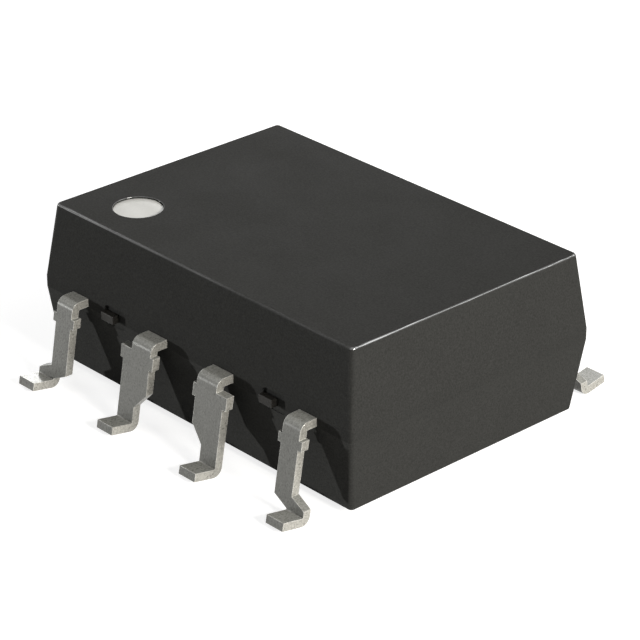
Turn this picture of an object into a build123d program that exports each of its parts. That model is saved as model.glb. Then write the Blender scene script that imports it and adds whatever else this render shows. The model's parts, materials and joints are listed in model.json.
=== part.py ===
from build123d import *
import os
from math import atan2, cos, degrees, radians, sin, tan

# Optocoupler in an eight-lead gull-wing package, in millimetres.
# X runs along the rows of leads, Y across them and Z up. The origin lies under the middle of the
# body, on the plane that the heels of the feet rest on. Leads 1 to 4 run from -X to +X on the -Y
# side, where the light source is, and leads 5 to 8 run back from +X to -X on the +Y side, where the
# detector is. Each lead is drawn in the quarter where X and Y are positive and then mirrored.

# Outer moulding
BODY_LENGTH = 9.25
BODY_WIDTH = 6.50
BODY_HEIGHT = 3.485
LOWER_HEIGHT = 1.605
BAND_HEIGHT = 0.24
STANDOFF = 0.13
DRAFT = 7.0
CORNER_RADIUS = 0.10
EDGE_RADIUS = 0.055

# White mark beside lead 1
MARK_DIAMETER = 1.04
MARK_DEPTH = 0.04
PAINT_THICKNESS = 0.015
MARK_TO_END = 1.515
MARK_TO_SIDE = 1.305

# Lead frame strip
SHEET_THICKNESS = 0.18
SHEET_RISE = 0.02
PITCH = 2.54

# Formed part of the leads
EXIT_LENGTH = 0.246
BEND_RADIUS = 0.02
SPLAY = 9.6
FOOT_TILT = 10.5
FOOT_LENGTH = 0.685
FOOT_WIDTH = 0.48
EAR_REACH = 0.09
EAR_BOTTOM = 1.41

# Leads at the ends of a row
END_EXIT_X = 3.4375
END_WIDTH = 0.48
END_EAR_TOP = 1.605
JOG_TOP = 0.475
JOG_HEIGHT = 0.17
JOG_STAGGER = 0.105

# Leads in the middle of a row
MIDDLE_EXIT_X = 0.995
MIDDLE_WIDTH = 0.58
MIDDLE_EAR_TOP = 1.68
TAPER_TOP = 0.87
TAPER_HEIGHT = 0.353

# Cut tie bars and the pockets that they leave the body through
TIE_BAR_PLACES = (-2.46, 2.335)
TIE_BAR_WIDTH = 0.38
TIE_BAR_DROP = 0.04
TIE_BAR_REACH = 0.115
TIE_BAR_DEPTH = 0.79
TIE_HEAD_WIDTH = 0.56
TIE_HEAD_LENGTH = 0.30
POCKET_WIDTH = 0.66
POCKET_OFFSET = 0.12
POCKET_HEIGHT = 0.42
POCKET_RADIUS = 0.10
POCKET_DEPTH = 0.05

# Inner moulding
INNER_LENGTH = 6.90
INNER_HEIGHT = 2.20
SIDE_WALL = 1.035

# Inner ends of the leads
END_RUN = 0.515
FINGER_X = 2.81
FREE_FINGER_END = 1.35
LOCK_HOLE = 0.22
LOCK_HOLE_INSET = 0.30
SIGNAL_FINGER_END = 1.05
ANODE_FINGER_END = 0.30
HOOK_Y = 0.54
HOOK_END = 1.75

# Paddles, raised for the emitter and lowered for the detector
UPSET = 0.72
DOWNSET = 0.72
RAMP_ANGLE = 45.0
EMITTER_RAMP_END = 1.04
EMITTER_PADDLE_REACH = 0.40
ARM_Y = 0.50
ARM_WIDTH = 0.48
ARM_RAMP_START = 2.40
PADDLE_MARGIN = 0.23

# Chips, adhesive, gel and bond wires
EMITTER_SIZE = 0.30
EMITTER_THICKNESS = 0.20
DETECTOR_LENGTH = 1.40
DETECTOR_WIDTH = 1.00
DETECTOR_THICKNESS = 0.25
ADHESIVE_THICKNESS = 0.02
ADHESIVE_MARGIN = 0.03
GEL_RADIUS = 0.42
WIRE_DIAMETER = 0.04
BALL_DIAMETER = 0.10
BALL_HEIGHT = 0.03
STITCH_HEIGHT = 0.015
LOOP_RISE = 0.09
LOOP_DROP = 0.09
WIRE_SIDES = 10
BALL_SIDES = 16
BOND_INSET = 0.12

# Levels and places that follow from the sizes above
BAND_BOTTOM = STANDOFF + LOWER_HEIGHT
BAND_TOP = BAND_BOTTOM + BAND_HEIGHT
BODY_TOP = STANDOFF + BODY_HEIGHT
SIDE = BODY_WIDTH / 2
SHEET_BOTTOM = BAND_BOTTOM + SHEET_RISE
SHEET_TOP = SHEET_BOTTOM + SHEET_THICKNESS
SHEET_MIDDLE = (SHEET_BOTTOM + SHEET_TOP) / 2
BEND_Y = SIDE + EXIT_LENGTH
INNER_SIDE = SIDE - SIDE_WALL
END_FOOT_X = 1.5 * PITCH
MIDDLE_FOOT_X = 0.5 * PITCH
EMITTER_PADDLE = SHEET_BOTTOM + UPSET
DETECTOR_PADDLE = SHEET_TOP - DOWNSET
EMITTER_FACE = EMITTER_PADDLE - ADHESIVE_THICKNESS - EMITTER_THICKNESS
DETECTOR_FACE = DETECTOR_PADDLE + ADHESIVE_THICKNESS + DETECTOR_THICKNESS


def mitre(first, second):
    """Step from a corner to the same corner of a line one unit to the side of both runs."""
    return (first + second) / (1 + first.dot(second))


def ribbon(route, left, right, bend=0.0):
    """Flat strip along straight runs, as wide as left and right of the route, with rounded bends."""
    points = [Vector(*point) for point in route]
    runs = [(end - start).normalized() for start, end in zip(points, points[1:])]
    sides = [Vector(-run.Y, run.X) for run in runs]
    steps = [mitre(one, other) for one, other in zip(sides[:1] + sides, sides + sides[-1:])]
    outer = bend + left + right
    turns = [one.cross(other).Z > 0 for one, other in zip(runs, runs[1:])]
    left_radii = [0] + [bend if turn else outer for turn in turns] + [0]
    right_radii = [0] + [outer if turn else bend for turn in turns] + [0]
    border = [point + step * left for point, step in zip(points, steps)]
    border += [point - step * right for point, step in zip(points[::-1], steps[::-1])]
    if bend > 0:
        return make_face(FilletPolyline(*border, radius=left_radii + right_radii[::-1], close=True))
    return make_face(Polyline(*border, close=True))


def span_box(x_span, y_span, z_span):
    """Block between the given limits along each axis."""
    sizes = [high - low for low, high in (x_span, y_span, z_span)]
    middle = [(low + high) / 2 for low, high in (x_span, y_span, z_span)]
    return Pos(*middle) * Box(*sizes)


def body_section(level):
    """Outline of the outer moulding at a height: full size in the band, smaller away from it."""
    inset = max(BAND_BOTTOM - level, level - BAND_TOP, 0) * tan(radians(DRAFT))
    outline = RectangleRounded(BODY_LENGTH - 2 * inset, BODY_WIDTH - 2 * inset, CORNER_RADIUS)
    return Pos(0, 0, level) * outline


def body_blank():
    """Outer form of the body, with its top and bottom rims rounded."""
    levels = (STANDOFF, BAND_BOTTOM, BAND_TOP, BODY_TOP)
    blank = loft([body_section(level) for level in levels], ruled=True)
    rims = blank.faces().filter_by(Axis.Z).edges()
    return fillet(rims, EDGE_RADIUS)


def inner_blank():
    """Block of the inner moulding, widest at the level of the lead frame."""
    half = INNER_HEIGHT / 2
    inset = half * tan(radians(DRAFT))
    sections = []
    for step, shrink in ((-half, inset), (0, 0), (half, inset)):
        outline = Rectangle(INNER_LENGTH - 2 * shrink, 2 * (INNER_SIDE - shrink))
        sections.append(Pos(0, 0, SHEET_MIDDLE + step) * outline)
    return loft(sections, ruled=True)


def mark_place():
    """Centre of the white mark, on top of the body beside lead 1."""
    return Pos(-BODY_LENGTH / 2 + MARK_TO_END, -SIDE + MARK_TO_SIDE, BODY_TOP)


def mark_paint():
    """Thin disc of paint on the floor of the mark's recess."""
    level = -MARK_DEPTH - PAINT_THICKNESS / 2
    return mark_place() * Pos(0, 0, level) * Cylinder(MARK_DIAMETER / 2, PAINT_THICKNESS)


def mark_recess():
    """Round recess that holds the paint."""
    depth = MARK_DEPTH + PAINT_THICKNESS
    return mark_place() * Pos(0, 0, -depth / 2) * Cylinder(MARK_DIAMETER / 2, depth)


def tie_bar(place):
    """Cut stub of a tie bar on the +Y side, with the head that anchors it in the moulding."""
    inner_end = SIDE - TIE_BAR_DEPTH
    levels = (SHEET_BOTTOM - TIE_BAR_DROP, SHEET_TOP - TIE_BAR_DROP)
    half = TIE_BAR_WIDTH / 2
    head = TIE_HEAD_WIDTH / 2
    stub = span_box((place - half, place + half), (inner_end, SIDE + TIE_BAR_REACH), levels)
    head_end = inner_end + TIE_HEAD_LENGTH
    return stub + span_box((place - head, place + head), (inner_end, head_end), levels)


def tie_pocket(place):
    """Shallow rounded pocket round a tie bar on the +Y side, with more room to one side of it."""
    outline = RectangleRounded(POCKET_WIDTH, POCKET_HEIGHT, POCKET_RADIUS)
    centre = (place - POCKET_OFFSET, SIDE - POCKET_DEPTH, SHEET_MIDDLE - TIE_BAR_DROP)
    floor = Plane(origin=centre, x_dir=(1, 0, 0), z_dir=(0, 1, 0))
    return extrude(floor * outline, SIDE)


def outer_route():
    """Underside of a lead's formed part, from its upper bend to its toe, as (y, z) points."""
    lean = radians(SPLAY)
    tilt = radians(FOOT_TILT)
    shaft_side = Vector(-cos(lean), -sin(lean))
    sole_side = Vector(sin(tilt), -cos(tilt))
    heel_radius = BEND_RADIUS + SHEET_THICKNESS
    heel_z = heel_radius * (1 + mitre(shaft_side, sole_side).Y)
    heel_y = BEND_Y + (SHEET_BOTTOM - heel_z) * tan(lean)
    toe = (heel_y + FOOT_LENGTH * cos(tilt), heel_z + FOOT_LENGTH * sin(tilt))
    return [(BEND_Y, SHEET_BOTTOM), (heel_y, heel_z), toe]


def formed_strip(inner_route):
    """Lead material as wide as the body, bent to the inner route and then to the outer one."""
    profile = ribbon(inner_route + outer_route(), SHEET_THICKNESS, 0, BEND_RADIUS)
    return extrude(Plane.YZ * profile, BODY_LENGTH / 2, both=True)


def prism(points, plane, reach):
    """Straight bar whose section is the closed outline through the points."""
    return extrude(plane * make_face(Polyline(*points, close=True)), reach)


def crease_y():
    """Distance from the middle plane to the crease where the foot meets the shaft."""
    lean = radians(SPLAY)
    tilt = radians(FOOT_TILT)
    shaft_side = Vector(cos(lean), sin(lean))
    top_side = Vector(-sin(tilt), cos(tilt))
    return outer_route()[1][0] + SHEET_THICKNESS * mitre(shaft_side, top_side).X


def outer_trim(front_points, foot_x):
    """Material that the punch leaves outside the body: the shaft's front outline and the foot."""
    shaft_plane = Plane(origin=(0, BEND_Y, 0), x_dir=(1, 0, 0), z_dir=(0, -1, 0))
    shaft = prism(front_points, shaft_plane, BEND_Y - crease_y())
    foot_x_span = (foot_x - FOOT_WIDTH / 2, foot_x + FOOT_WIDTH / 2)
    foot_y_span = (crease_y(), crease_y() + 2 * FOOT_LENGTH)
    foot = span_box(foot_x_span, foot_y_span, (-FOOT_LENGTH, FOOT_LENGTH))
    return shaft + foot


def end_front():
    """Front outline of an end lead: strip, ears, shaft and the jog out to the foot."""
    inner = END_EXIT_X - END_WIDTH / 2
    outer = END_EXIT_X + END_WIDTH / 2
    foot_inner = END_FOOT_X - FOOT_WIDTH / 2
    foot_outer = END_FOOT_X + FOOT_WIDTH / 2
    return [
        (inner, BODY_TOP),
        (inner, END_EAR_TOP),
        (inner - EAR_REACH, END_EAR_TOP),
        (inner - EAR_REACH, EAR_BOTTOM),
        (inner, EAR_BOTTOM),
        (inner, JOG_TOP - JOG_STAGGER),
        (foot_inner, JOG_TOP - JOG_STAGGER - JOG_HEIGHT),
        (foot_inner, -FOOT_LENGTH),
        (foot_outer, -FOOT_LENGTH),
        (foot_outer, JOG_TOP - JOG_HEIGHT),
        (outer, JOG_TOP),
        (outer, EAR_BOTTOM),
        (outer + EAR_REACH, EAR_BOTTOM),
        (outer + EAR_REACH, END_EAR_TOP),
        (outer, END_EAR_TOP),
        (outer, BODY_TOP),
    ]


def middle_front():
    """Front outline of a middle lead: strip, shoulder with ears, shaft and the taper to the foot."""
    inner = MIDDLE_EXIT_X - MIDDLE_WIDTH / 2
    outer = MIDDLE_EXIT_X + MIDDLE_WIDTH / 2
    foot_inner = MIDDLE_FOOT_X - FOOT_WIDTH / 2
    foot_outer = MIDDLE_FOOT_X + FOOT_WIDTH / 2
    return [
        (inner, BODY_TOP),
        (inner, MIDDLE_EAR_TOP),
        (inner - EAR_REACH, MIDDLE_EAR_TOP),
        (inner - EAR_REACH, EAR_BOTTOM),
        (inner, EAR_BOTTOM),
        (inner, TAPER_TOP),
        (foot_inner, TAPER_TOP - TAPER_HEIGHT),
        (foot_inner, -FOOT_LENGTH),
        (foot_outer, -FOOT_LENGTH),
        (foot_outer, EAR_BOTTOM),
        (foot_outer + EAR_REACH, EAR_BOTTOM),
        (foot_outer + EAR_REACH, MIDDLE_EAR_TOP),
        (outer, MIDDLE_EAR_TOP),
        (outer, BODY_TOP),
    ]


def plan_bar(outline):
    """Upright bar over a plan outline, as tall as the body."""
    return extrude(outline, BODY_TOP)


def end_plan(inner_points):
    """Plan of an end lead: out through the wall, aslant to its finger, then along the points."""
    jog_start = SIDE - END_RUN
    jog_end = jog_start - (END_EXIT_X - FINGER_X)
    route = [(END_EXIT_X, BEND_Y), (END_EXIT_X, jog_start), (FINGER_X, jog_end)] + inner_points
    return plan_bar(ribbon(route, END_WIDTH / 2, END_WIDTH / 2))


def middle_plan(end_y):
    """Plan of a middle lead: straight in to the end of its finger."""
    x_span = (MIDDLE_EXIT_X - MIDDLE_WIDTH / 2, MIDDLE_EXIT_X + MIDDLE_WIDTH / 2)
    return span_box(x_span, (end_y, BEND_Y), (0, BODY_TOP))


def flat_route(end_y):
    """Inner run of a lead that stays level, as (y, z) points."""
    return [(end_y, SHEET_BOTTOM)]


def raised_route(end_y):
    """Inner run of a lead that climbs to the level of the emitter's paddle, as (y, z) points."""
    ramp_start = EMITTER_RAMP_END + UPSET / tan(radians(RAMP_ANGLE))
    return [(end_y, EMITTER_PADDLE), (EMITTER_RAMP_END, EMITTER_PADDLE), (ramp_start, SHEET_BOTTOM)]


def free_lead():
    """End lead with no connection inside: its finger ends in a hole that locks it in the moulding."""
    trim = end_plan([(FINGER_X, FREE_FINGER_END)]) + outer_trim(end_front(), END_FOOT_X)
    hole_y = FREE_FINGER_END + LOCK_HOLE_INSET
    hole = Pos(FINGER_X, hole_y, SHEET_MIDDLE) * Cylinder(LOCK_HOLE / 2, 2 * SHEET_THICKNESS)
    return (formed_strip(flat_route(0)) & trim) - hole


def supply_lead():
    """End lead whose finger turns in beside the detector."""
    plan = end_plan([(FINGER_X, HOOK_Y), (HOOK_END, HOOK_Y)])
    return formed_strip(flat_route(0)) & (plan + outer_trim(end_front(), END_FOOT_X))


def signal_lead():
    """Middle lead with a level bonding finger."""
    trim = middle_plan(SIGNAL_FINGER_END) + outer_trim(middle_front(), MIDDLE_FOOT_X)
    return formed_strip(flat_route(0)) & trim


def anode_lead():
    """Middle lead with a raised bonding finger beside the emitter's paddle."""
    trim = middle_plan(ANODE_FINGER_END) + outer_trim(middle_front(), MIDDLE_FOOT_X)
    return formed_strip(raised_route(0)) & trim


def cathode_lead():
    """Middle lead that widens into the raised paddle under which the emitter hangs."""
    paddle_x = (-EMITTER_PADDLE_REACH, MIDDLE_EXIT_X + MIDDLE_WIDTH / 2)
    paddle = span_box(paddle_x, (-EMITTER_PADDLE_REACH, EMITTER_RAMP_END), (0, BODY_TOP))
    trim = middle_plan(0) + paddle + outer_trim(middle_front(), MIDDLE_FOOT_X)
    return formed_strip(raised_route(-EMITTER_PADDLE_REACH)) & trim


def ground_lead():
    """End lead whose arm steps down to the paddle that carries the detector."""
    half_length = DETECTOR_LENGTH / 2 + PADDLE_MARGIN
    half_width = DETECTOR_WIDTH / 2 + PADDLE_MARGIN
    finger_outer = FINGER_X + END_WIDTH / 2
    arm_y = (ARM_Y - ARM_WIDTH / 2, ARM_Y + ARM_WIDTH / 2)
    ramp_end = ARM_RAMP_START - DOWNSET / tan(radians(RAMP_ANGLE))
    paddle_bottom = DETECTOR_PADDLE - SHEET_THICKNESS
    side_route = [
        (-half_length, paddle_bottom),
        (ramp_end, paddle_bottom),
        (ARM_RAMP_START, SHEET_BOTTOM),
        (finger_outer, SHEET_BOTTOM),
    ]
    side_view = Plane.XZ * ribbon(side_route, SHEET_THICKNESS, 0, BEND_RADIUS)
    stepped = extrude(side_view, SIDE, both=True)
    paddle = span_box((-half_length, half_length), (-half_width, half_width), (0, BODY_TOP))
    arm = span_box((0, finger_outer), arm_y, (0, BODY_TOP))
    finger = end_plan([(FINGER_X, arm_y[0])])
    level = formed_strip(flat_route(0)) & (finger + outer_trim(end_front(), END_FOOT_X))
    return level + (stepped & (paddle + arm))


def emitter_chip():
    """Light source, hanging under its paddle."""
    level = EMITTER_FACE + EMITTER_THICKNESS / 2
    return Pos(0, 0, level) * Box(EMITTER_SIZE, EMITTER_SIZE, EMITTER_THICKNESS)


def emitter_adhesive():
    """Layer that bonds the light source to its paddle."""
    side = EMITTER_SIZE + 2 * ADHESIVE_MARGIN
    level = EMITTER_PADDLE - ADHESIVE_THICKNESS / 2
    return Pos(0, 0, level) * Box(side, side, ADHESIVE_THICKNESS)


def detector_chip():
    """Detector, lying on its paddle."""
    level = DETECTOR_FACE - DETECTOR_THICKNESS / 2
    return Pos(0, 0, level) * Box(DETECTOR_LENGTH, DETECTOR_WIDTH, DETECTOR_THICKNESS)


def detector_adhesive():
    """Layer that bonds the detector to its paddle."""
    length = DETECTOR_LENGTH + 2 * ADHESIVE_MARGIN
    width = DETECTOR_WIDTH + 2 * ADHESIVE_MARGIN
    level = DETECTOR_PADDLE + ADHESIVE_THICKNESS / 2
    return Pos(0, 0, level) * Box(length, width, ADHESIVE_THICKNESS)


def gel_dome():
    """Clear drop of gel over the light source, before the things inside it are taken out."""
    across = (-GEL_RADIUS, GEL_RADIUS)
    drop = Sphere(GEL_RADIUS) & span_box(across, across, (-GEL_RADIUS, 0))
    return Pos(0, 0, EMITTER_PADDLE) * drop


def bond_pad(reach, level, thickness):
    """Flat drop of wire material, a distance along the wire and with its underside at a level."""
    return Pos(reach, 0, level) * extrude(RegularPolygon(BALL_DIAMETER / 2, BALL_SIDES), thickness)


def bond_wire(chip_point, finger_point, up):
    """Wire from a ball on the chip, up over its loop and down to a flat stitch on the finger."""
    start = Vector(*chip_point)
    end = Vector(*finger_point)
    run = Vector(end.X - start.X, end.Y - start.Y)
    drop = (end.Z - start.Z) * up
    crown = max(drop, 0) + LOOP_RISE
    foot = drop + STITCH_HEIGHT
    neck = (0, 0, BALL_HEIGHT)
    points = [neck, (0, 0, crown + BALL_HEIGHT)]
    points += [(run.length, 0, foot + LOOP_DROP), (run.length, 0, foot)]
    section = Pos(neck) * RegularPolygon(WIRE_DIAMETER / 2, WIRE_SIDES)
    wire = sweep(section, path=Polyline(*points), transition=Transition.RIGHT)
    joined = bond_pad(0, 0, BALL_HEIGHT) + wire + bond_pad(run.length, drop, STITCH_HEIGHT)
    if up < 0:
        joined = mirror(joined, about=Plane.XY)
    return Pos(start) * Rot(0, 0, degrees(atan2(run.Y, run.X))) * joined


def bond_wires():
    """The five bond wires, by name."""
    chip_x = DETECTOR_LENGTH / 2 - BOND_INSET
    chip_y = DETECTOR_WIDTH / 2 - BOND_INSET
    signal_x = MIDDLE_EXIT_X - BOND_INSET
    signal_y = SIGNAL_FINGER_END + BOND_INSET
    anode = (-MIDDLE_EXIT_X, -ANODE_FINGER_END - 2 * BOND_INSET, EMITTER_PADDLE)
    output = (signal_x, signal_y, SHEET_TOP)
    enable = (-signal_x, signal_y, SHEET_TOP)
    supply = (-HOOK_END - BOND_INSET, HOOK_Y, SHEET_TOP)
    ground = (DETECTOR_LENGTH / 2 + PADDLE_MARGIN + BOND_INSET, ARM_Y, DETECTOR_PADDLE)
    return {
        "emitter_bond_wire": bond_wire((0, 0, EMITTER_FACE), anode, -1),
        "output_bond_wire": bond_wire((chip_x / 2, chip_y, DETECTOR_FACE), output, 1),
        "enable_bond_wire": bond_wire((-chip_x / 2, chip_y, DETECTOR_FACE), enable, 1),
        "supply_bond_wire": bond_wire((-chip_x, 0, DETECTOR_FACE), supply, 1),
        "ground_bond_wire": bond_wire((chip_x, 0, DETECTOR_FACE), ground, 1),
    }


def leads():
    """The eight leads, by name, each mirrored into its own quarter."""
    turned = Rot(0, 0, 180)
    return {
        "lead_1": turned * free_lead(),
        "lead_2": turned * anode_lead(),
        "lead_3": mirror(cathode_lead(), about=Plane.XZ),
        "lead_4": mirror(free_lead(), about=Plane.XZ),
        "lead_5": ground_lead(),
        "lead_6": signal_lead(),
        "lead_7": mirror(signal_lead(), about=Plane.YZ),
        "lead_8": mirror(supply_lead(), about=Plane.YZ),
    }


def taken_out(block, pieces):
    """Block with the room of each piece taken out."""
    for piece in pieces:
        block = block - piece
    return block


def build_nodes():
    """Every node of the optocoupler, by name."""
    turned = Rot(0, 0, 180)
    metal = leads()
    bars = [tie_bar(-place) for place in TIE_BAR_PLACES]
    bars = [turned * bar for bar in bars] + bars
    pockets = [tie_pocket(-place) for place in TIE_BAR_PLACES]
    pockets += [turned * pocket for pocket in pockets]
    wires = bond_wires()
    chips = {
        "emitter_chip": emitter_chip(),
        "emitter_die_attach": emitter_adhesive(),
        "detector_chip": detector_chip(),
        "detector_die_attach": detector_adhesive(),
    }
    under_gel = [chips["emitter_chip"], chips["emitter_die_attach"], wires["emitter_bond_wire"]]
    gel = taken_out(gel_dome(), under_gel)
    contents = list(metal.values()) + list(chips.values()) + list(wires.values())
    inner = taken_out(inner_blank(), contents + [gel])
    rooms = [inner_blank(), mark_recess()] + pockets + list(metal.values()) + bars
    outer = taken_out(body_blank(), rooms)
    nodes = {"outer_moulding": outer, "pin_1_dot": mark_paint(), "inner_moulding": inner}
    nodes.update(metal)
    nodes.update({f"tie_bar_{number}": bar for number, bar in enumerate(bars, 1)})
    nodes.update(chips)
    nodes["emitter_gel_dome"] = gel
    nodes.update(wires)
    return nodes


os.makedirs("parts", exist_ok=True)
for name, solid in build_nodes().items():
    export_step(solid, f"parts/{name}.step")
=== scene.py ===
import json
import math

import bmesh
import bpy
from mathutils import Matrix, Vector

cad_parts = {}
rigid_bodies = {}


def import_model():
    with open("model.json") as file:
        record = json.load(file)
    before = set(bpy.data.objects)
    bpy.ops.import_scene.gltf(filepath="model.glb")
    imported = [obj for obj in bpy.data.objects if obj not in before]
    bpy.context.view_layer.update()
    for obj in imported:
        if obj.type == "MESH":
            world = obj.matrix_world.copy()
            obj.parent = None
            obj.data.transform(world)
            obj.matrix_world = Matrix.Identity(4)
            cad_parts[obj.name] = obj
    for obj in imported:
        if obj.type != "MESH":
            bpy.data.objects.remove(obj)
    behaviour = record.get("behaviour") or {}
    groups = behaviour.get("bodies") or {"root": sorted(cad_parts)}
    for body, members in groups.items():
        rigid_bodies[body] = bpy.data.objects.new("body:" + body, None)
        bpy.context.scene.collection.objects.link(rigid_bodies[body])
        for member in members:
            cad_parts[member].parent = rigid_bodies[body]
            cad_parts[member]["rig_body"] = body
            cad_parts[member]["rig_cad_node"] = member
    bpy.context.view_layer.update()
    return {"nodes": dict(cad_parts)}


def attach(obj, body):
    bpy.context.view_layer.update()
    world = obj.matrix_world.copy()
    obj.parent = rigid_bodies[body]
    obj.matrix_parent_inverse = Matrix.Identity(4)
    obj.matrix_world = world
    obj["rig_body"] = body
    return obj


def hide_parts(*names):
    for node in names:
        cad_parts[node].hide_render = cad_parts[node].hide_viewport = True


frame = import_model()

bl_info = {
    "name": "Optocoupler dresser",
    "version": (1, 0, 0),
    "blender": (4, 5, 0),
    "location": "3D View > Sidebar > Optocoupler",
    "description": "Finishes the mouldings, leads and inner parts of an eight-lead optocoupler",
    "category": "Object",
}

NODES = frame["nodes"]
LEADS = [f"lead_{number}" for number in range(1, 9)]
TIE_BARS = [f"tie_bar_{number}" for number in range(1, 5)]
WIRES = [f"{name}_bond_wire" for name in ("emitter", "output", "enable", "supply", "ground")]

# Meshes are worked in millimetres, because the bevel and merge steps are too coarse for metres
MM = 0.001
MERGE_DISTANCE = 0.0002
MERGE_ANGLE = math.radians(0.4)

# Edges sharper than the first angle are rounded, and edges softer than the others are shaded smooth
SHARP_ANGLE = math.radians(40)
SOFT_ANGLE = math.radians(35)
PAINT_SOFT_ANGLE = math.radians(50)
ROUNDING_SEGMENTS = 2
FLAT_FACE_WEIGHT = 100

# The cut tie bars are blunter than the strip
CUT_BLUNTNESS = 1.5

# Levels of the parting band, whose four long edges stay crisp, in millimetres
BAND_LEVELS = (1.735, 1.975)

# How near a corner lies to a level, and to the lip of the mark's recess, in millimetres
LEVEL_REACH = 0.001
LIP_REACH = 0.02

# Most values of a noise texture lie between these
NOISE_RANGE = (0.3, 0.7)

# Epoxy: lightness by grain and by clouds, and painted light on the lower half at the ends and at
# the long sides
EPOXY_GRAIN = (0.80, 1.20)
EPOXY_CLOUDS = (0.97, 1.03)
EPOXY_CLOUD_SIZE = 0.0012
# Painted light: below the band the epoxy is made lighter, standing in for light bounced up from the
# floor
PAINTED_BOUNCE_LIGHT = (1.08, 1.38)
PAINTED_BOUNCE_FADE = 0.02
EPOXY_GLOSS_SPREAD = 0.04

# Upper rims: how far they lean, how worn they are, and how bright along X on the long sides
RIM_RISE = (0.22, 0.45)
RIM_FALL = (0.93, 0.99)
RIM_CLOUDS = (0.25, 0.55)
RIM_LEAST = 0.6
RIM_ALONG = (-0.0046, 0.0015)
RIM_SIDES = (0.80, 0.15)
RIM_GLOSS = 0.15
RIM_INDEX = 2.2

# Tin: lightness by grain and painted light on level faces, metal on faces and on cut sides, and a
# painted highlight on its edges
TIN_GRAIN = (0.72, 1.28)
# Painted light: level faces of the tin are made up to 58% lighter, standing in for light from above
PAINTED_TOP_LIGHT = (1.0, 1.58)
TIN_METALLIC = (0.12, 0.42)
TIN_STRETCH = (1.0, 0.55, 0.55)
TIN_SPECULAR = 0.2
TIN_GLOSS_SPREAD = 0.07
# Painted highlight: a pale colour laid along the strip's narrow edges
PAINTED_EDGE_HIGHLIGHT = (0.80, 0.80, 0.76, 1.0)
EDGE_HIGHLIGHT_WIDTH = 0.00002
EDGE_HIGHLIGHT_GAIN = 14.0

# Small parts: clouds and relief as multiples of the grain's size, and the spread of roughness
PLAIN_CLOUDS = 12
PLAIN_RELIEF = 0.2
PLAIN_GLOSS_SPREAD = 0.05

# How the normal's parts tell faces, sides and ends apart
LEVEL_TURN = (0.5, 0.95)
CUT_TURN = (0.4, 0.8)
LONG_SIDE_TURN = (0.5, 0.9)
END_TURN = (0.1, 0.4)

# The floor's glow for the camera, near the object and far off, by distance in metres
GLOW_REACH = (0.05, 0.16)
GLOW = (0.81, 1.0)

# Light of the world on the object, and white for what the camera sees
AMBIENT_COLOUR = (1.0, 1.0, 0.99, 1.0)
AMBIENT_STRENGTH = 0.03
WHITE = (1.0, 1.0, 1.0)

# Height that the lamps face, in metres
MIDDLE_HEIGHT = 0.0018

# Soft boxes: name, azimuth and elevation in degrees, distance, width and height in metres, power
# and colour
LAMPS = [
    ("Low left box", -57, 1, 0.30, 0.006, 0.004, 0.67, WHITE),
    ("Left box", -58, 38, 0.20, 0.06, 0.06, 0.02, WHITE),
    ("Top box", -20, 80, 0.20, 0.06, 0.06, 0.02, WHITE),
    ("Back box", 141, 38, 0.20, 0.10, 0.10, 0.12, WHITE),
    ("Right box", 90, 24, 0.20, 0.07, 0.06, 0.62, (1.0, 0.97, 0.92)),
    ("Back left box", -132, 17, 0.30, 0.06, 0.06, 0.17, WHITE),
    ("Far foot box", -124, 38, 0.30, 0.08, 0.08, 0.11, WHITE),
]

# Camera: place in metres, roll, sensor in millimetres, half a pixel as a share of the picture's
# side, and the nearest and farthest that it sees, in metres
CAMERA_PLACE = (0.04013517, -0.03681432, 0.02896035)
CAMERA_ROLL = math.radians(0.09568)
SENSOR_WIDTH = 36.0
HALF_PIXEL = 0.5 / 640
CLIP_START, CLIP_END = 0.001, 10.0


def colour_property(name, text, value):
    """A colour that the user may change."""
    return bpy.props.FloatVectorProperty(
        name=name, description=text, default=value, subtype="COLOR", size=3, min=0.0, max=1.0
    )


def length_property(name, text, value):
    """A length that the user may change, in metres."""
    return bpy.props.FloatProperty(
        name=name, description=text, default=value, min=0.0, unit="LENGTH", precision=6
    )


def share_property(name, text, value):
    """A share from 0 to 1 that the user may change."""
    return bpy.props.FloatProperty(
        name=name, description=text, default=value, min=0.0, max=1.0, subtype="FACTOR"
    )


def angle_property(name, text, degrees):
    """An angle that the user may change."""
    return bpy.props.FloatProperty(
        name=name,
        description=text,
        default=math.radians(degrees),
        subtype="ANGLE",
        unit="ROTATION",
    )


class MouldingSettings(bpy.types.PropertyGroup):
    """Colours and grain of the two mouldings."""

    body_colour: colour_property(
        "Body colour", "Colour of the black epoxy", (0.031, 0.0312, 0.0298)
    )
    body_gloss: share_property("Body roughness", "Roughness of the black epoxy", 0.50)
    grain_size: length_property("Grain", "Size of the filler grain in the epoxy", 0.000035)
    inner_colour: colour_property(
        "Inner colour", "Colour of the white epoxy", (0.80, 0.79, 0.74)
    )
    lip_radius: length_property(
        "Recess lip", "Rounding of the lip of the mark's recess", 0.000014
    )


class MarkSettings(bpy.types.PropertyGroup):
    """Colour and rim of the mark beside lead 1."""

    paint_colour: colour_property(
        "Paint colour", "Colour of the mark's paint", (0.445, 0.445, 0.422)
    )
    paint_rim: length_property("Rim", "Width of the rounded rim of the paint", 0.00001)


class LeadSettings(bpy.types.PropertyGroup):
    """Finish and edges of the leads and the tie bars."""

    metal_colour: colour_property(
        "Face colour", "Colour of the tin on the strip's faces", (0.157, 0.158, 0.147)
    )
    # Partly the sheared sides' own finish, partly painted light: the sides are made much paler than
    # the faces, standing in for light falling on them
    side_colour_with_painted_light: colour_property(
        "Side colour", "Colour of the tin on the strip's sides", (0.36, 0.352, 0.321)
    )
    metal_gloss: share_property("Metal roughness", "Roughness of the matte tin", 0.31)
    edge_radius: length_property("Edge", "Rounding of the strip's long edges", 0.000010)
    grain_size: length_property("Grain", "Size of the crystals in the tin", 0.000023)
    cut_colour: colour_property(
        "Cut colour", "Colour of the cut tie bars", (0.020, 0.019, 0.017)
    )


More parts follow.
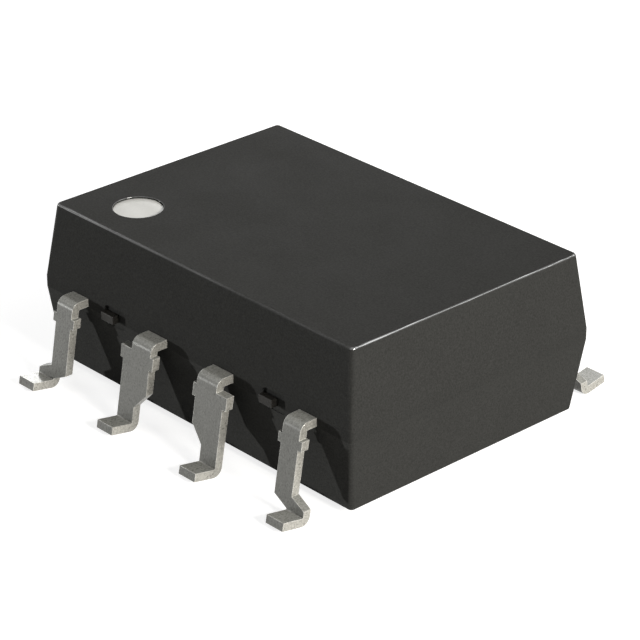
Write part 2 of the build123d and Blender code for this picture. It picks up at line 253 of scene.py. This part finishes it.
class InsideSettings(bpy.types.PropertyGroup):
    """Colours of the parts inside the body."""

    emitter_colour: colour_property(
        "Emitter", "Colour of the light source's chip", (0.20, 0.17, 0.18)
    )
    detector_colour: colour_property(
        "Detector", "Colour of the detector chip", (0.22, 0.24, 0.30)
    )
    adhesive_colour: colour_property(
        "Adhesive", "Colour of the silver-filled adhesive", (0.52, 0.51, 0.49)
    )
    gold_colour: colour_property("Gold", "Colour of the bond wires", (0.85, 0.58, 0.23))
    gel_tint: colour_property("Gel", "Tint of the clear gel", (0.96, 0.97, 0.98))


class StageSettings(bpy.types.PropertyGroup):
    """Floor and camera."""

    floor_colour: colour_property("Floor colour", "Colour of the floor", (0.50, 0.50, 0.497))
    floor_size: length_property("Floor size", "Side of the square floor", 0.9)
    camera_azimuth: angle_property(
        "Camera azimuth", "Turn of the camera round the object, from leads 1 to 4", 47.2901
    )
    camera_elevation: angle_property(
        "Camera elevation", "Height of the camera above the horizon", 26.7379
    )
    focal_length: bpy.props.FloatProperty(
        name="Focal length",
        description="Focal length of the camera",
        default=168.34,
        min=1.0,
        unit="CAMERA",
    )


def deselect():
    """Leave edit mode with nothing selected."""
    if bpy.context.object and bpy.context.object.mode != "OBJECT":
        bpy.ops.object.mode_set(mode="OBJECT")
    bpy.ops.object.select_all(action="DESELECT")


def pick(piece):
    """Make a piece the only one that the next operator acts on."""
    deselect()
    piece.select_set(True)
    bpy.context.view_layer.objects.active = piece


def new_copy(node, name):
    """A loose copy of a CAD node's mesh, as a piece of its own."""
    pick(NODES[node])
    bpy.ops.object.duplicate(linked=False)
    piece = bpy.context.object
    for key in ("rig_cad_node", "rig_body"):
        del piece[key]
    piece.parent = None
    piece.matrix_world = Matrix.Identity(4)
    piece.name = name
    piece.data.name = name
    return piece


def scale_mesh(piece, factor):
    """Scale a piece's mesh about the origin."""
    pick(piece)
    bpy.ops.object.mode_set(mode="EDIT")
    bpy.ops.mesh.select_all(action="SELECT")
    bpy.ops.transform.resize(value=(factor, factor, factor), center_override=(0, 0, 0))
    bpy.ops.object.mode_set(mode="OBJECT")


def merge_facets(piece):
    """Join a copied node's loose triangles into whole faces. The mesh is in millimetres."""
    pick(piece)
    bpy.ops.object.mode_set(mode="EDIT")
    bpy.ops.mesh.select_all(action="SELECT")
    bpy.ops.mesh.remove_doubles(threshold=MERGE_DISTANCE)
    bpy.ops.mesh.dissolve_limited(angle_limit=MERGE_ANGLE)
    bpy.ops.mesh.normals_make_consistent(inside=False)
    bpy.ops.object.mode_set(mode="OBJECT")


def round_edges(piece, width):
    """Round the sharp edges. The mesh is in millimetres."""
    pick(piece)
    bevel = piece.modifiers.new("Edges", "BEVEL")
    bevel.width = width
    bevel.segments = ROUNDING_SEGMENTS
    bevel.limit_method = "ANGLE"
    bevel.angle_limit = SHARP_ANGLE
    bevel.use_clamp_overlap = True
    bevel.miter_outer = "MITER_ARC"
    bpy.ops.object.modifier_apply(modifier=bevel.name)


def keep_faces_flat(piece):
    """Turn the corners' normals towards the large faces."""
    weigh = piece.modifiers.new("Flat faces", "WEIGHTED_NORMAL")
    weigh.keep_sharp = True
    weigh.weight = FLAT_FACE_WEIGHT
    bpy.ops.object.modifier_apply(modifier=weigh.name)


def select_edges(piece, wanted):
    """Go into edit mode with only the edges selected that pass a test."""
    pick(piece)
    bpy.ops.object.mode_set(mode="EDIT")
    bpy.ops.mesh.select_all(action="DESELECT")
    mesh = bmesh.from_edit_mesh(piece.data)
    for edge in mesh.edges:
        edge.select = wanted(edge)
    bmesh.update_edit_mesh(piece.data)


def settle(piece, material, slot, *nodes):
    """Give a finished piece its material, its body and the nodes that it stands for."""
    piece.data.materials.clear()
    piece.data.materials.append(material)
    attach(piece, "root")
    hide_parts(*nodes)


def dress_copy(node, name, radius, soft_angle, material, slot):
    """Copy a node, round its sharp edges by a radius in metres, and settle the copy."""
    piece = new_copy(node, name)
    scale_mesh(piece, 1 / MM)
    merge_facets(piece)
    round_edges(piece, radius / MM)
    pick(piece)
    bpy.ops.object.shade_smooth_by_angle(angle=soft_angle)
    keep_faces_flat(piece)
    scale_mesh(piece, MM)
    settle(piece, material, slot, node)


def new_material(name):
    """A material with one Principled shader."""
    material = bpy.data.materials.new(name)
    material.use_nodes = True
    return material, material.node_tree, material.node_tree.nodes["Principled BSDF"]


def put(tree, kind, values=None, **settings):
    """Add a node, set its properties, and set or link its inputs."""
    node = tree.nodes.new(kind)
    for key, value in settings.items():
        setattr(node, key, value)
    for key, value in (values or {}).items():
        if isinstance(value, bpy.types.NodeSocket):
            tree.links.new(value, node.inputs[key])
        else:
            node.inputs[key].default_value = value
    return node


def calculate(tree, operation, *values, clamp=False):
    """Arithmetic on numbers and sockets."""
    inputs = dict(enumerate(values))
    return put(tree, "ShaderNodeMath", inputs, operation=operation, use_clamp=clamp).outputs[0]


def remap(tree, value, span, result=(0.0, 1.0)):
    """Carry a value over from one range to another, and hold it within the new one."""
    values = {
        "Value": value,
        "From Min": span[0],
        "From Max": span[1],
        "To Min": result[0],
        "To Max": result[1],
    }
    return put(tree, "ShaderNodeMapRange", values).outputs[0]


def around(middle, spread):
    """The range that lies a spread to either side of a value."""
    return middle - spread, middle + spread


def scale_colour(tree, colour, factor):
    """A colour made lighter or darker by a factor that varies over the surface."""
    values = {0: (*colour,), "Scale": factor}
    return put(tree, "ShaderNodeVectorMath", values, operation="SCALE").outputs[0]


def object_place(tree):
    """The surface's place in the object's own coordinates, in metres."""
    return put(tree, "ShaderNodeTexCoord").outputs["Object"]


def surface_normal(tree):
    """The surface's normal."""
    return put(tree, "ShaderNodeNewGeometry").outputs["Normal"]


def split(tree, vector):
    """The X, Y and Z parts of a vector, by name."""
    return put(tree, "ShaderNodeSeparateXYZ", {0: vector}).outputs


def new_group(name, inputs, outputs):
    """A node group with named sockets, and its two end nodes."""
    group = bpy.data.node_groups.new(name, "ShaderNodeTree")
    for title, kind, value in inputs:
        socket = group.interface.new_socket(title, in_out="INPUT", socket_type=kind)
        socket.default_value = value
    for title, kind in outputs:
        group.interface.new_socket(title, in_out="OUTPUT", socket_type=kind)
    return group, group.nodes.new("NodeGroupInput"), group.nodes.new("NodeGroupOutput")


def place_group(tree, group, values):
    """Place a node group in a material."""
    return put(tree, "ShaderNodeGroup", values, node_tree=group)


def grain_group():
    """Fine grain, specks and broad clouds, at sizes in metres."""
    name = "Grain"
    if name in bpy.data.node_groups:
        return bpy.data.node_groups[name]
    group, source, sink = new_group(
        name,
        [
            ("Size", "NodeSocketFloat", 0.00003),
            ("Stretch", "NodeSocketVector", (1.0, 1.0, 1.0)),
            ("Cloud Size", "NodeSocketFloat", 0.001),
        ],
        [(title, "NodeSocketFloat") for title in ("Grain", "Specks", "Clouds")],
    )
    place = object_place(group)
    stretched = put(
        group,
        "ShaderNodeVectorMath",
        {0: place, 1: source.outputs["Stretch"]},
        operation="MULTIPLY",
    ).outputs[0]
    fine = calculate(group, "DIVIDE", 1.0, source.outputs["Size"])
    broad = calculate(group, "DIVIDE", 1.0, source.outputs["Cloud Size"])
    grain = put(
        group,
        "ShaderNodeTexNoise",
        {"Vector": stretched, "Scale": fine, "Detail": 2.0, "Roughness": 0.6},
    )
    cells = put(
        group, "ShaderNodeTexVoronoi", {"Vector": stretched, "Scale": fine, "Randomness": 1.0}
    )
    clouds = put(
        group,
        "ShaderNodeTexNoise",
        {"Vector": place, "Scale": broad, "Detail": 3.0, "Roughness": 0.5},
    )
    group.links.new(grain.outputs["Fac"], sink.inputs["Grain"])
    group.links.new(cells.outputs["Color"], sink.inputs["Specks"])
    group.links.new(clouds.outputs["Fac"], sink.inputs["Clouds"])
    return group


def edge_highlight_group():
    """Mask of the narrow edges, where a highlight is painted on the surface."""
    name = "Rubbed edges"
    if name in bpy.data.node_groups:
        return bpy.data.node_groups[name]
    group, source, sink = new_group(
        name,
        [
            ("Width", "NodeSocketFloat", EDGE_HIGHLIGHT_WIDTH),
            ("Gain", "NodeSocketFloat", EDGE_HIGHLIGHT_GAIN),
            ("Breakup", "NodeSocketFloat", 0.5),
        ],
        [("Mask", "NodeSocketFloat")],
    )
    rounded = put(group, "ShaderNodeBevel", {"Radius": source.outputs["Width"]}, samples=6)
    along = put(
        group,
        "ShaderNodeVectorMath",
        {0: rounded.outputs["Normal"], 1: surface_normal(group)},
        operation="DOT_PRODUCT",
    ).outputs["Value"]
    turned = calculate(group, "SUBTRACT", 1.0, along)
    strong = calculate(group, "MULTIPLY", turned, source.outputs["Gain"])
    broken = calculate(group, "MULTIPLY", strong, source.outputs["Breakup"], clamp=True)
    group.links.new(broken, sink.inputs["Mask"])
    return group


def upper_rim_group():
    """Mask of the rounded upper rims, found by how far they lean, strongest at the two ends."""
    name = "Upper rims"
    if name in bpy.data.node_groups:
        return bpy.data.node_groups[name]
    group, source, sink = new_group(
        name, [("Breakup", "NodeSocketFloat", 0.5)], [("Mask", "NodeSocketFloat")]
    )
    normal = split(group, surface_normal(group))
    rise = remap(group, normal["Z"], RIM_RISE)
    fall = remap(group, normal["Z"], RIM_FALL, (1.0, 0.0))
    strip = calculate(group, "MULTIPLY", rise, fall)
    worn = remap(group, source.outputs["Breakup"], RIM_CLOUDS, (RIM_LEAST, 1.0))
    broken = calculate(group, "MULTIPLY", strip, worn)
    endward = calculate(group, "ABSOLUTE", normal["X"])
    sides = remap(group, split(group, object_place(group))["X"], RIM_ALONG, RIM_SIDES)
    ends = remap(group, endward, END_TURN, (sides, 1.0))
    mask = calculate(group, "MULTIPLY", broken, ends, clamp=True)
    group.links.new(mask, sink.inputs["Mask"])
    return group


def link_surface(tree, shader, base, rough, grain, strength, depth):
    """Give a shader its colour, its roughness and the relief of its grain."""
    tree.links.new(base, shader.inputs["Base Color"])
    tree.links.new(rough, shader.inputs["Roughness"])
    relief = {"Height": grain.outputs["Grain"], "Strength": strength, "Distance": depth}
    bump = put(tree, "ShaderNodeBump", relief)
    tree.links.new(bump.outputs[0], shader.inputs["Normal"])


def epoxy_material(name, colour, roughness, grain_size, grain_depth, specular):
    """Moulded epoxy: filler grain, faint clouds, a lower half painted lighter as bounced light, and
    polished upper rims.
    """
    material, tree, shader = new_material(name)
    grain = place_group(
        tree, grain_group(), {"Size": grain_size, "Cloud Size": EPOXY_CLOUD_SIZE}
    )
    tint = remap(tree, grain.outputs["Grain"], NOISE_RANGE, EPOXY_GRAIN)
    cloud = remap(tree, grain.outputs["Clouds"], NOISE_RANGE, EPOXY_CLOUDS)
    even = calculate(tree, "MULTIPLY", tint, cloud)
    # Painted light: below the band the colour is made lighter, most on the long sides, as if lit
    # from below
    sideward = calculate(tree, "ABSOLUTE", split(tree, surface_normal(tree))["Y"])
    painted_bounce = remap(tree, sideward, LONG_SIDE_TURN, PAINTED_BOUNCE_LIGHT)
    fade = (BAND_LEVELS[0] * MM, (BAND_LEVELS[0] + PAINTED_BOUNCE_FADE) * MM)
    painted_bounce_by_height = remap(tree, split(tree, object_place(tree))["Z"], fade, (painted_bounce, 1.0))
    shade = calculate(tree, "MULTIPLY", even, painted_bounce_by_height)
    gloss = around(roughness, EPOXY_GLOSS_SPREAD)
    rough = remap(tree, grain.outputs["Clouds"], NOISE_RANGE, gloss)
    base = scale_colour(tree, colour, shade)
    link_surface(tree, shader, base, rough, grain, strength=0.35, depth=grain_depth)
    shader.inputs["Specular IOR Level"].default_value = specular
    rims = place_group(tree, upper_rim_group(), {"Breakup": grain.outputs["Clouds"]})
    tree.links.new(rims.outputs["Mask"], shader.inputs["Coat Weight"])
    shader.inputs["Coat Roughness"].default_value = RIM_GLOSS
    shader.inputs["Coat IOR"].default_value = RIM_INDEX
    return material


def tin_material(settings):
    """Matte tin on formed strip: crystal grain drawn along the strip, painted light on its level
    faces and sides, and painted highlights along its edges.
    """
    material, tree, shader = new_material("Matte tin")
    grain = place_group(
        tree,
        grain_group(),
        {"Size": settings.grain_size, "Stretch": TIN_STRETCH, "Cloud Size": 0.0003},
    )
    edges = place_group(
        tree,
        edge_highlight_group(),
        {"Width": EDGE_HIGHLIGHT_WIDTH, "Gain": EDGE_HIGHLIGHT_GAIN, "Breakup": grain.outputs["Clouds"]},
    )
    tint = remap(tree, grain.outputs["Grain"], NOISE_RANGE, TIN_GRAIN)
    facing = split(tree, surface_normal(tree))
    # Painted light: faces that lie level are made lighter, as if lit from above
    level = remap(tree, calculate(tree, "ABSOLUTE", facing["Z"]), LEVEL_TURN, PAINTED_TOP_LIGHT)
    cut = remap(tree, calculate(tree, "ABSOLUTE", facing["X"]), CUT_TURN)
    faces = scale_colour(
        tree, settings.metal_colour, calculate(tree, "MULTIPLY", tint, level)
    )
    # Painted light, besides the sides' own finish: the sides take a much paler colour than the
    # faces
    sides = scale_colour(tree, settings.side_colour_with_painted_light, tint)
    both = put(
        tree, "ShaderNodeMix", {"Factor": cut, "A": faces, "B": sides}, data_type="RGBA"
    )
    # Painted highlight: the edges are mixed towards a pale colour
    bright = put(
        tree,
        "ShaderNodeMix",
        {"Factor": edges.outputs["Mask"], "A": both.outputs["Result"], "B": PAINTED_EDGE_HIGHLIGHT},
        data_type="RGBA",
    )
    gloss = around(settings.metal_gloss, TIN_GLOSS_SPREAD)
    rough = remap(tree, grain.outputs["Specks"], (0.0, 1.0), gloss)
    base = bright.outputs["Result"]
    link_surface(tree, shader, base, rough, grain, strength=0.30, depth=0.000006)
    metal = remap(tree, cut, (0.0, 1.0), TIN_METALLIC)
    tree.links.new(metal, shader.inputs["Metallic"])
    shader.inputs["Specular IOR Level"].default_value = TIN_SPECULAR
    return material


def plain_material(name, colour, roughness, metallic, grain_size, spread, specular=0.5):
    """A small part's finish: its colour with a fine grain in colour, gloss and relief."""
    material, tree, shader = new_material(name)
    grain = place_group(
        tree, grain_group(), {"Size": grain_size, "Cloud Size": grain_size * PLAIN_CLOUDS}
    )
    tint = remap(tree, grain.outputs["Grain"], NOISE_RANGE, around(1, spread))
    gloss = around(roughness, PLAIN_GLOSS_SPREAD)
    rough = remap(tree, grain.outputs["Clouds"], NOISE_RANGE, gloss)
    base = scale_colour(tree, colour, tint)
    depth = grain_size * PLAIN_RELIEF
    link_surface(tree, shader, base, rough, grain, strength=0.25, depth=depth)
    shader.inputs["Metallic"].default_value = metallic
    shader.inputs["Specular IOR Level"].default_value = specular
    return material


def gel_material(tint):
    """Clear silicone with faint clouds in its gloss."""
    material, tree, shader = new_material("Clear gel")
    grain = place_group(tree, grain_group(), {"Size": 0.00005, "Cloud Size": 0.0004})
    rough = remap(tree, grain.outputs["Clouds"], NOISE_RANGE, (0.03, 0.09))
    tree.links.new(rough, shader.inputs["Roughness"])
    shader.inputs["Base Color"].default_value = (*tint, 1.0)
    shader.inputs["Transmission Weight"].default_value = 1.0
    shader.inputs["IOR"].default_value = 1.41
    return material


def finish_node(node, material):
    """Give a CAD node that keeps its shape its material."""
    piece = NODES[node]
    piece.data.materials.clear()
    piece.data.materials.append(material)


def round_recess_lip(body, width):
    """Round the lip of the mark's recess. The mesh is in millimetres."""
    paint = NODES["pin_1_dot"].data.vertices
    middle = sum((vertex.co for vertex in paint), Vector()) / len(paint) / MM
    reach = max((vertex.co / MM - middle).to_2d().length for vertex in paint)
    top = max(vertex.co.z for vertex in body.data.vertices)

    def on_lip(vertex):
        from_rim = (vertex.co - middle).to_2d().length - reach
        return top - vertex.co.z < LEVEL_REACH and abs(from_rim) < LIP_REACH

    select_edges(body, lambda edge: all(on_lip(vertex) for vertex in edge.verts))
    bpy.ops.mesh.bevel(offset=width, segments=ROUNDING_SEGMENTS, affect="EDGES")
    bpy.ops.object.mode_set(mode="OBJECT")


def keep_band_crisp(body):
    """Smooth the rounded rims, with the band's edges sharp. The mesh is in millimetres."""

    def on_band(edge):
        heights = [vertex.co.z for vertex in edge.verts]
        return any(all(abs(z - level) < LEVEL_REACH for z in heights) for level in BAND_LEVELS)

    pick(body)
    bpy.ops.object.shade_smooth_by_angle(angle=SOFT_ANGLE)
    select_edges(body, on_band)
    bpy.ops.mesh.mark_sharp()
    bpy.ops.object.mode_set(mode="OBJECT")
    keep_faces_flat(body)


class OPTOCOUPLER_OT_mouldings(bpy.types.Operator):
    """Dress the black outer moulding and finish the white inner one"""

    bl_idname = "optocoupler.mouldings"
    bl_label = "Mouldings"

    def execute(self, context):
        settings = context.scene.optocoupler_mouldings
        body = new_copy("outer_moulding", "black_moulding")
        scale_mesh(body, 1 / MM)
        merge_facets(body)
        round_recess_lip(body, settings.lip_radius / MM)
        keep_band_crisp(body)
        scale_mesh(body, MM)
        black = epoxy_material(
            "Black epoxy",
            settings.body_colour,
            settings.body_gloss,
            settings.grain_size,
            grain_depth=0.0000012,
            specular=0.005,
        )
        settle(body, black, "black_epoxy", "outer_moulding")
        white = epoxy_material(
            "White epoxy",
            settings.inner_colour,
            roughness=0.55,
            grain_size=0.00006,
            grain_depth=0.000002,
            specular=0.4,
        )
        finish_node("inner_moulding", white)
        return {"FINISHED"}


class OPTOCOUPLER_OT_mark(bpy.types.Operator):
    """Finish the round mark beside lead 1"""

    bl_idname = "optocoupler.mark"
    bl_label = "Mark"

    def execute(self, context):
        settings = context.scene.optocoupler_mark
        paint = plain_material(
            "Mark paint",
            settings.paint_colour,
            roughness=0.55,
            metallic=0.0,
            grain_size=0.00004,
            spread=0.03,
        )
        radius = settings.paint_rim / 2
        dress_copy("pin_1_dot", "white_mark", radius, PAINT_SOFT_ANGLE, paint, "mark_paint")
        return {"FINISHED"}


class OPTOCOUPLER_OT_leads(bpy.types.Operator):
    """Round the edges of the eight leads and tin them"""

    bl_idname = "optocoupler.leads"
    bl_label = "Leads"

    def execute(self, context):
        settings = context.scene.optocoupler_leads
        tin = tin_material(settings)
        radius = settings.edge_radius
        for node in LEADS:
            dress_copy(node, f"tinned_{node}", radius, SOFT_ANGLE, tin, "tinned_metal")
        return {"FINISHED"}


class OPTOCOUPLER_OT_tie_bars(bpy.types.Operator):
    """Round the edges of the four cut tie bars"""

    bl_idname = "optocoupler.tie_bars"
    bl_label = "Tie bars"

    def execute(self, context):
        settings = context.scene.optocoupler_leads
        cut = plain_material(
            "Cut metal",
            settings.cut_colour,
            roughness=0.30,
            metallic=0.3,
            grain_size=0.00003,
            spread=0.25,
            specular=0.12,
        )
        radius = CUT_BLUNTNESS * settings.edge_radius
        for node in TIE_BARS:
            dress_copy(node, f"cut_{node}", radius, SOFT_ANGLE, cut, "cut_metal")
        return {"FINISHED"}


class OPTOCOUPLER_OT_inside(bpy.types.Operator):
    """Finish the chips, their adhesive, the gel and the bond wires"""

    bl_idname = "optocoupler.inside"
    bl_label = "Inside"

    def execute(self, context):
        settings = context.scene.optocoupler_inside
        # Roughness, metal, grain size in metres and spread of the grain's lightness
        finishes = [
            ("Silver adhesive", settings.adhesive_colour, 0.45, 0.8, 0.00002, 0.2),
            ("Gold wire", settings.gold_colour, 0.22, 1.0, 0.00002, 0.06),
            ("Emitter chip", settings.emitter_colour, 0.25, 0.3, 0.00003, 0.1),
            ("Detector chip", settings.detector_colour, 0.18, 0.5, 0.00006, 0.12),
        ]
        adhesive, gold, emitter, detector = (plain_material(*finish) for finish in finishes)
        finish_node("emitter_chip", emitter)
        finish_node("detector_chip", detector)
        finish_node("emitter_die_attach", adhesive)
        finish_node("detector_die_attach", adhesive)
        finish_node("emitter_gel_dome", gel_material(settings.gel_tint))
        for node in WIRES:
            finish_node(node, gold)
        return {"FINISHED"}


def background_rays(tree):
    """1 for the rays that see the background: from the camera, off gloss and through glass."""
    path = put(tree, "ShaderNodeLightPath").outputs
    direct = calculate(tree, "MAXIMUM", path["Is Camera Ray"], path["Is Glossy Ray"])
    return calculate(tree, "MAXIMUM", direct, path["Is Transmission Ray"])


def floor_material(colour):
    """Pale floor that the camera sees as white, more so far off, with the object's shadow kept."""
    material, tree, shader = new_material("Pale floor")
    grain = place_group(tree, grain_group(), {"Size": 0.0008, "Cloud Size": 0.01})
    tint = remap(tree, grain.outputs["Clouds"], NOISE_RANGE, (0.99, 1.01))
    base = scale_colour(tree, colour, tint)
    tree.links.new(base, shader.inputs["Base Color"])
    shader.inputs["Roughness"].default_value = 0.9
    shader.inputs["Specular IOR Level"].default_value = 0.1
    away = put(tree, "ShaderNodeVectorMath", {0: object_place(tree)}, operation="LENGTH")
    fill = remap(tree, away.outputs["Value"], GLOW_REACH, GLOW)
    glow = put(tree, "ShaderNodeEmission", {"Color": fill, "Strength": 1.0})
    both = put(tree, "ShaderNodeAddShader", {0: shader.outputs[0], 1: glow.outputs[0]})
    seen = put(
        tree,
        "ShaderNodeMixShader",
        {0: background_rays(tree), 1: shader.outputs[0], 2: both.outputs[0]},
    )
    tree.links.new(seen.outputs[0], tree.nodes["Material Output"].inputs["Surface"])
    return material


def add_lamp(name, azimuth, elevation, distance, width, height, power, colour):
    """A soft box at a place round the object, turned to face the object's middle."""
    place = Vector(polar(azimuth, elevation, distance))
    deselect()
    bpy.ops.object.light_add(type="AREA", location=place)
    lamp = bpy.context.object
    lamp.name = name
    lamp.data.shape = "RECTANGLE"
    lamp.data.size = width
    lamp.data.size_y = height
    lamp.data.energy = power
    lamp.data.color = colour
    towards = Vector((0, 0, MIDDLE_HEIGHT)) - place
    lamp.rotation_euler = towards.to_track_quat("-Z", "Y").to_euler()


def polar(azimuth, elevation, distance):
    """A place round the object, by angles in degrees, as the camera's angles are counted."""
    turn, rise = math.radians(azimuth), math.radians(elevation)
    return (
        distance * math.sin(turn) * math.cos(rise),
        -distance * math.cos(turn) * math.cos(rise),
        distance * math.sin(rise) + MIDDLE_HEIGHT,
    )


def set_world():
    """White to the camera and to gloss, and dim to the object."""
    world = bpy.context.scene.world or bpy.data.worlds.new("Studio")
    bpy.context.scene.world = world
    world.use_nodes = True
    tree = world.node_tree
    tree.nodes.clear()
    ambient = put(
        tree, "ShaderNodeBackground", {"Color": AMBIENT_COLOUR, "Strength": AMBIENT_STRENGTH}
    )
    white = put(tree, "ShaderNodeBackground", {"Color": (*WHITE, 1.0), "Strength": 1.0})
    mix = put(
        tree,
        "ShaderNodeMixShader",
        {0: background_rays(tree), 1: ambient.outputs[0], 2: white.outputs[0]},
    )
    out = put(tree, "ShaderNodeOutputWorld")
    tree.links.new(mix.outputs[0], out.inputs["Surface"])


def set_camera(settings):
    """Camera at the photograph's angle."""
    deselect()
    bpy.ops.object.camera_add(location=CAMERA_PLACE)
    camera = bpy.context.object
    camera.name = "Photograph camera"
    turn = Matrix.Rotation(settings.camera_azimuth, 4, "Z")
    lean = Matrix.Rotation(math.pi / 2 - settings.camera_elevation, 4, "X")
    roll = Matrix.Rotation(CAMERA_ROLL, 4, "Z")
    camera.rotation_euler = (turn @ lean @ roll).to_euler()
    camera.data.sensor_width = SENSOR_WIDTH
    camera.data.lens = settings.focal_length
    camera.data.clip_start = CLIP_START
    camera.data.clip_end = CLIP_END
    camera.data.shift_x = -HALF_PIXEL
    camera.data.shift_y = HALF_PIXEL
    bpy.context.scene.camera = camera


class OPTOCOUPLER_OT_stage(bpy.types.Operator):
    """Set up the floor, the lamps, the world and the camera"""

    bl_idname = "optocoupler.stage"
    bl_label = "Stage"

    def execute(self, context):
        settings = context.scene.optocoupler_stage
        deselect()
        bpy.ops.mesh.primitive_plane_add(size=settings.floor_size, location=(0, 0, 0))
        floor = context.object
        floor.name = "Floor"
        floor.data.materials.append(floor_material(settings.floor_colour))
        for lamp in LAMPS:
            add_lamp(*lamp)
        set_world()
        set_camera(settings)
        context.scene.view_settings.view_transform = "Standard"
        return {"FINISHED"}


class OPTOCOUPLER_PT_panel(bpy.types.Panel):
    """Sizes, colours and steps of the optocoupler's finish"""

    bl_idname = "OPTOCOUPLER_PT_panel"
    bl_label = "Optocoupler"
    bl_space_type = "VIEW_3D"
    bl_region_type = "UI"
    bl_category = "Optocoupler"

    def draw(self, context):
        for settings, steps in PANEL_ROWS:
            box = self.layout.box()
            group = getattr(context.scene, settings)
            for name in group.__annotations__:
                box.prop(group, name)
            for step in steps:
                box.operator(step)


PANEL_ROWS = [
    ("optocoupler_mouldings", ["optocoupler.mouldings"]),
    ("optocoupler_mark", ["optocoupler.mark"]),
    ("optocoupler_leads", ["optocoupler.leads", "optocoupler.tie_bars"]),
    ("optocoupler_inside", ["optocoupler.inside"]),
    ("optocoupler_stage", ["optocoupler.stage"]),
]

SETTINGS = {
    "optocoupler_mouldings": MouldingSettings,
    "optocoupler_mark": MarkSettings,
    "optocoupler_leads": LeadSettings,
    "optocoupler_inside": InsideSettings,
    "optocoupler_stage": StageSettings,
}

CLASSES = [
    *SETTINGS.values(),
    OPTOCOUPLER_OT_mouldings,
    OPTOCOUPLER_OT_mark,
    OPTOCOUPLER_OT_leads,
    OPTOCOUPLER_OT_tie_bars,
    OPTOCOUPLER_OT_inside,
    OPTOCOUPLER_OT_stage,
    OPTOCOUPLER_PT_panel,
]


def register():
    """Register the classes and hang the settings on the scene."""
    for kind in CLASSES:
        bpy.utils.register_class(kind)
    for name, kind in SETTINGS.items():
        setattr(bpy.types.Scene, name, bpy.props.PointerProperty(type=kind))


def unregister():
    """Take the settings and the classes away again."""
    for name in SETTINGS:
        delattr(bpy.types.Scene, name)
    for kind in reversed(CLASSES):
        bpy.utils.unregister_class(kind)


def main():
    """Dress the object piece by piece."""
    register()
    bpy.ops.optocoupler.mouldings()
    bpy.ops.optocoupler.mark()
    bpy.ops.optocoupler.leads()
    bpy.ops.optocoupler.tie_bars()
    bpy.ops.optocoupler.inside()
    bpy.ops.optocoupler.stage()
    deselect()


if __name__ == "__main__":
    main()
